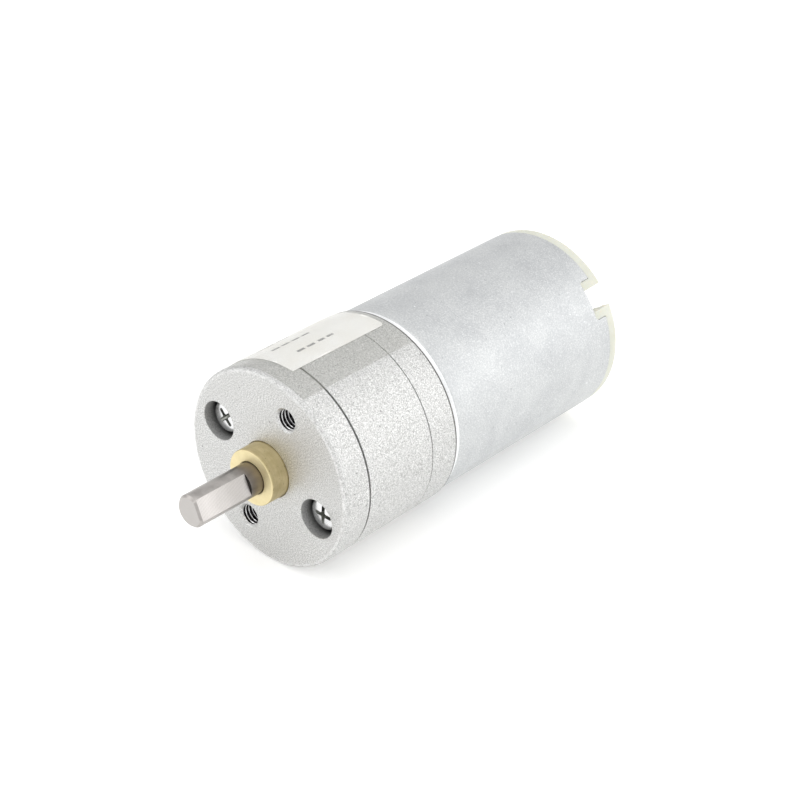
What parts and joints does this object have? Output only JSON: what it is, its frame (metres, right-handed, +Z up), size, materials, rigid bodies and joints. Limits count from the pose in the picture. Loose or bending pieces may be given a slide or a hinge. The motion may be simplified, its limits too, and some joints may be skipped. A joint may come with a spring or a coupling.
{
  "type": "geared dc motor",
  "caption": "Small round brushed DC motor with an inline spur gearbox, a brass output bush and a D-cut output shaft.",
  "frame": {"origin": "centre of the gearbox's front mounting face, on the output shaft's axis", "axes": "-Y along the output shaft, out of the gearbox; the motor lies towards +Y; +Z up as the motor lies on a table"},
  "size_m": [0.0252, 0.0659, 0.0252],
  "materials": {
    "cast_zinc": "fine bead-blasted zinc casting, matt with a light sparkle",
    "can_steel": "zinc-plated drawn steel, satin, slightly cloudy",
    "shaft_steel": "ground and machined steel with fine tool lines",
    "brass": "turned brass, pale and softly polished",
    "zinc_screw": "bright zinc-plated steel",
    "gear_steel": "sintered or hobbed steel, lightly greased",
    "cap_plastic": "cream moulded nylon",
    "bearing_bronze": "oil-filled sintered bronze, matt",
    "ferrite": "ground ferrite, matt dark grey",
    "lamination": "stacked iron laminations, fine edge lines",
    "copper": "copper: enamelled wire, and bare on the commutator and brush arms",
    "carbon": "pressed carbon, matt black",
    "paper": "plain white label paper",
    "tape": "clear tape, slightly grey where it lies on metal"
  },
  "bodies": {
    "gearmotor": {"front_cover": "cast_zinc", "gear_housing": "cast_zinc", "rear_plate": "cast_zinc", "output_bush": "brass", "cover_screw_1": "zinc_screw", "cover_screw_2": "zinc_screw", "motor_screw_1": "zinc_screw", "motor_screw_2": "zinc_screw", "gear_pin_a": "shaft_steel", "gear_pin_b": "shaft_steel", "pin_spacer_a": "shaft_steel", "pin_spacer_b": "shaft_steel", "output_washer": "shaft_steel", "thrust_washer": "cap_plastic", "motor_can": "can_steel", "front_bearing": "bearing_bronze", "rear_bearing": "bearing_bronze", "magnet_1": "ferrite", "magnet_2": "ferrite", "magnet_clip_1": "shaft_steel", "magnet_clip_2": "shaft_steel", "end_cap": "cap_plastic", "terminal_1": "zinc_screw", "terminal_2": "zinc_screw", "brush_arm_1": "copper", "brush_arm_2": "copper", "carbon_brush_1": "carbon", "carbon_brush_2": "carbon", "label": "paper", "clear_tape": "tape"},
    "output": {"output_shaft": "shaft_steel", "output_gear": "gear_steel"},
    "stage_1": {"stage_1_wheel": "brass", "stage_1_pinion": "gear_steel"},
    "stage_2": {"stage_2_wheel": "brass", "stage_2_pinion": "gear_steel"},
    "stage_3": {"stage_3_wheel": "gear_steel", "stage_3_pinion": "gear_steel"},
    "rotor": {"motor_pinion": "brass", "rotor_shaft": "shaft_steel", "armature_core": "lamination", "winding_1": "copper", "winding_2": "copper", "winding_3": "copper", "commutator_sleeve": "cap_plastic", "commutator_bar_1": "copper", "commutator_bar_2": "copper", "commutator_bar_3": "copper", "rotor_spacer": "cap_plastic"}
  },
  "joints": [
    {"name": "output_spin", "type": "hinge", "parent": "gearmotor", "child": "output", "pos_m": [0, 0, 0], "axis": [0, -1, 0], "continuous": true},
    {"name": "stage_3_spin", "type": "hinge", "parent": "gearmotor", "child": "stage_3", "pos_m": [-0.00237, 0.0084, -0.00551], "axis": [0, -1, 0], "continuous": true},
    {"name": "stage_2_spin", "type": "hinge", "parent": "gearmotor", "child": "stage_2", "pos_m": [0, 0.0105, 0], "axis": [0, -1, 0], "continuous": true},
    {"name": "stage_1_spin", "type": "hinge", "parent": "gearmotor", "child": "stage_1", "pos_m": [0.00237, 0.0126, 0.00551], "axis": [0, -1, 0], "continuous": true},
    {"name": "rotor_spin", "type": "hinge", "parent": "gearmotor", "child": "rotor", "pos_m": [0, 0.0315, 0], "axis": [0, -1, 0], "continuous": true}
  ],
  "couplings": [
    {"joint": "stage_3_spin", "follows": "output_spin", "ratio": -2.3333},
    {"joint": "stage_2_spin", "follows": "output_spin", "ratio": 5.4444},
    {"joint": "stage_1_spin", "follows": "output_spin", "ratio": -12.704},
    {"joint": "rotor_spin", "follows": "output_spin", "ratio": 29.642}
  ]
}
